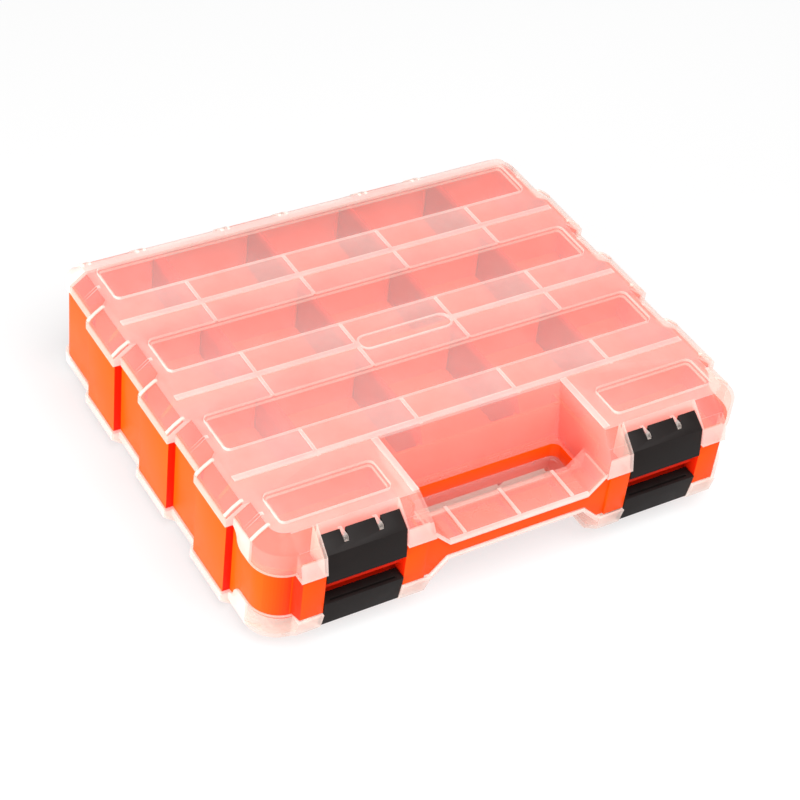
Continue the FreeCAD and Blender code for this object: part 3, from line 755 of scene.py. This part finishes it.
@dataclass
class SlopeBeads:
    """Rounded beads down the slopes of a lid, where its sides step in and out and above its hinge arms.

    Sizes are in millimetres, with levels from the middle of the box.
    """

    lid: str
    finish: Finish = FrostedClear()
    # Y about the middle row and how far the edge stands out there
    steps: tuple[tuple[float, float], ...] = ((53.0, 158.8), (19.0, 158.8), (-17.0, 158.8), (-51.0, 158.8),
                                              (-87.0, 158.8), (-121.0, 158.8), (-142.5, 154.4))
    # X of the hinge arms on the top lid, how far beads stand beside each, and the back edge
    arms: tuple[float, ...] = (-142.0, -107.0, -51.5, -12.4, 43.6, 82.0)
    beside: float = 2.2
    back: float = 133.0
    # The slope: how far it runs, its levels at the top and at the knee, and how far it swells in the middle
    run: float = 9.5
    top: float = 38.0
    knee: float = 30.5
    swell: float = 0.5
    # The tail on the plate: how long it is and how far it sinks
    tail: float = 1.2
    sink: float = 0.2
    # The bar: its width, how far it stands out and goes in, and how its upper edge leans outwards
    width: float = 1.8
    rise: float = 0.7
    root: float = 0.7
    lean: float = 0.4
    radius: float = 0.4
    radius_steps: int = 3
    # Share of X in the normal of the bar's end, and degrees between faces that are shaded as one curve
    end_facing: float = 0.6
    curved: float = 40.0

    @property
    def turn(self) -> int:
        """1 for the top lid, and -1 for the bottom lid, which is turned over."""
        return 1 if self.lid.startswith("top") else -1

    def build(self) -> None:
        """Models one bead, sets copies at every step and arm and joins them."""
        pattern = self.model_bead()
        sides = [self.on_side(side, edge, y) for y, edge in self.steps for side in (-1, 1)]
        backs = [self.on_back(arm + aside) for arm in self.arms for aside in (-self.beside, self.beside)]
        copies = [self.copy_bead(pattern, place) for place in sides + backs]
        bpy.data.objects.remove(pattern)
        Moulding.pick(*copies)
        bpy.ops.object.join()
        piece = copies[0]
        piece.name = f"{self.lid}_slope_beads"
        bpy.ops.object.mode_set(mode="EDIT")
        bpy.ops.mesh.select_all(action="SELECT")
        bpy.ops.mesh.normals_make_consistent(inside=False)
        bpy.ops.object.mode_set(mode="OBJECT")
        bpy.ops.object.shade_smooth_by_angle(angle=math.radians(self.curved))
        self.finish.cover(piece.data)
        Zone.paint(piece.data, [Zone.BEAD] * len(piece.data.polygons))
        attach(piece, self.lid)
        LOG.info("%s: %d faces", piece.name, len(piece.data.polygons))

    def model_bead(self) -> bpy.types.Object:
        """Extrudes a bar down the slope from a cube, and rounds it.

        Returns:
            The bead, with the edge of the lid at x = 0 and its middle at y = 0.
        """
        start = (-self.run - self.tail, self.top - self.sink)
        path = [(-self.run, self.top), (-self.run / 2, (self.top + self.knee) / 2 + self.swell),
                (0.0, self.knee)]
        bpy.ops.object.select_all(action="DESELECT")
        bpy.ops.mesh.primitive_cube_add(size=1.0)
        bead = bpy.context.object
        mesh = bead.data
        for vertex in mesh.vertices:
            first = vertex.co.x < 0
            x, z = start if first else path[0]
            lift = self.rise if vertex.co.z > 0 else -self.root
            out = 0.0 if first else lift * self.lean
            vertex.co = Vector(((x + out) * MM, vertex.co.y * self.width * MM, (z + lift) * MM))
        bpy.ops.object.mode_set(mode="EDIT")
        bpy.ops.mesh.select_mode(type="FACE")
        bpy.ops.mesh.select_all(action="DESELECT")
        bpy.ops.object.mode_set(mode="OBJECT")
        for face in mesh.polygons:
            face.select = face.normal.x > self.end_facing
        for (x0, z0), (x1, z1) in zip(path, path[1:]):
            move = ((x1 - x0) * MM, 0.0, (z1 - z0) * MM)
            bpy.ops.object.mode_set(mode="EDIT")
            bpy.ops.mesh.extrude_region_move(TRANSFORM_OT_translate={"value": move})
            bpy.ops.object.mode_set(mode="OBJECT")
        round_off = bead.modifiers.new("bead_radius", "BEVEL")
        round_off.width = self.radius * MM
        round_off.segments = self.radius_steps
        round_off.limit_method = "ANGLE"
        bpy.ops.object.modifier_apply(modifier=round_off.name)
        return bead

    def on_side(self, side: int, edge: float, y: float) -> Matrix:
        """Finds the place of a bead on a step of the lid's side.

        Args:
            side: -1 for the left side, 1 for the right side.
            edge: How far the edge of the lid stands out there.
            y: Place along the side, about the middle row.

        Returns:
            The matrix that takes the modelled bead there.
        """
        place = Matrix.Translation((side * edge * MM, y * MM + MIDDLE_ROW_Y, MIDDLE))
        return place @ Matrix.Diagonal((side, 1, self.turn, 1))

    def on_back(self, x: float) -> Matrix:
        """Finds the place of a bead on the back slope.

        Args:
            x: Place along the back of the top lid; the bottom lid has it mirrored.

        Returns:
            The matrix that takes the modelled bead there.
        """
        place = Matrix.Translation((self.turn * x * MM, self.back * MM, MIDDLE))
        return place @ Matrix(((0, self.turn, 0), (1, 0, 0), (0, 0, self.turn))).to_4x4()

    @staticmethod
    def copy_bead(pattern: bpy.types.Object, place: Matrix) -> bpy.types.Object:
        """Sets a copy of the bead at its place.

        Args:
            pattern: The bead to copy.
            place: The matrix that takes it there.

        Returns:
            The copy, with its place in its own mesh.
        """
        bead = bpy.data.objects.new(f"{pattern.name}_copy", pattern.data.copy())
        bpy.context.scene.collection.objects.link(bead)
        bead.data.transform(place)
        return bead


@dataclass
class HardwareBox:
    """The whole box: tray, lids, latches, dividers and hinge pins."""

    sections: tuple[str, ...] = ("tray_floor", "tray_handle", "tray_back", "tray_left", "tray_right")
    lids: tuple[str, ...] = ("top_lid", "bottom_lid")
    latches: tuple[str, ...] = ("upper_left_latch", "upper_right_latch",
                                "lower_left_latch", "lower_right_latch")

    def build(self) -> None:
        """Builds every piece and dresses the nodes that stay."""
        names = sorted(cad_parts)
        walls = tuple(name for name in names if "row_wall" in name)
        Tray(self.sections + walls, "tray").build()
        for lid in self.lids:
            Lid((lid,), lid).build()
            SlopeBeads(lid).build()
        for latch in self.latches:
            Latch((latch,), latch).build()
        for name in names:
            if "divider" in name:
                Divider((name,), "tray").build()
            elif "pin" in name:
                DrawnSteel().cover(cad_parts[name].data)
                LOG.info("%s: kept as packed", name)


@dataclass(frozen=True)
class SoftLamp:
    """A large soft lamp that points at the box; sizes in metres, power in watts."""

    name: str
    place: tuple[float, float, float]
    width: float
    height: float
    power: float

    def build(self) -> None:
        """Adds the lamp and turns it to the box."""
        lamp = bpy.data.lights.new(self.name, "AREA")
        lamp.shape = "RECTANGLE"
        lamp.size = self.width
        lamp.size_y = self.height
        lamp.energy = self.power
        stand = bpy.data.objects.new(self.name, lamp)
        stand.location = self.place
        towards = Vector((0, 0, MIDDLE)) - Vector(self.place)
        stand.rotation_euler = towards.to_track_quat("-Z", "Y").to_euler()
        bpy.context.scene.collection.objects.link(stand)


@dataclass
class Studio:
    """White floor, soft lamps, pale surroundings and the camera."""

    floor_size: float = 12.0
    surround: float = 0.44
    lamps: tuple[SoftLamp, ...] = (SoftLamp("key_left", (-2.4, -0.2, 0.16), 1.0, 0.26, 92.0),
                                   SoftLamp("overhead", (0.0, -0.85, 1.8), 1.4, 1.4, 58.0))
    # How many clear faces a line of sight may pass
    clear_faces: int = 32
    lens_mm: float = 96.2
    sensor_mm: float = 36.0
    nearest: float = 0.05
    camera_place: tuple[float, float, float] = (-0.5471, -0.7879, 0.8510)
    camera_right: tuple[float, float, float] = (0.8607, -0.4996, 0.0989)
    camera_up: tuple[float, float, float] = (0.2651, 0.6054, 0.7505)
    camera_back: tuple[float, float, float] = (-0.4348, -0.6197, 0.6534)

    def build(self) -> None:
        """Sets up the floor, the light and the camera."""
        self.lay_floor()
        self.light()
        self.set_camera()

    def lay_floor(self) -> None:
        """Lays the white floor at the plane that the box rests on."""
        bpy.ops.object.select_all(action="DESELECT")
        bpy.ops.mesh.primitive_plane_add(size=self.floor_size, location=(0, 0, 0))
        floor = bpy.context.object
        floor.name = "studio_floor"
        LitTable().cover(floor.data)

    def light(self) -> None:
        """Adds the surroundings and the lamps."""
        world = bpy.data.worlds.new("pale_studio")
        world.use_nodes = True
        world.node_tree.nodes.clear()
        glow = add_node(world.node_tree, "ShaderNodeBackground",
                        inputs={"Color": linear(WHITE), "Strength": self.surround})
        add_node(world.node_tree, "ShaderNodeOutputWorld", inputs={"Surface": glow.outputs[0]})
        scene = bpy.context.scene
        scene.world = world
        scene.view_settings.view_transform = "Standard"
        scene.cycles.transparent_max_bounces = self.clear_faces
        for lamp in self.lamps:
            lamp.build()

    def set_camera(self) -> None:
        """Places the camera as the picture was taken, with its slight roll."""
        lens = bpy.data.cameras.new("product_camera")
        lens.lens = self.lens_mm
        lens.sensor_width = self.sensor_mm
        lens.clip_start = self.nearest
        camera = bpy.data.objects.new("product_camera", lens)
        turn = Matrix((self.camera_right, self.camera_up, self.camera_back)).transposed()
        camera.matrix_world = Matrix.Translation(self.camera_place) @ turn.to_4x4()
        bpy.context.scene.collection.objects.link(camera)
        bpy.context.scene.camera = camera


def main() -> None:
    """Builds the box and its studio."""
    logging.basicConfig(level=logging.INFO, format="%(message)s")
    HardwareBox().build()
    Studio().build()


if __name__ == "__main__":
    main()
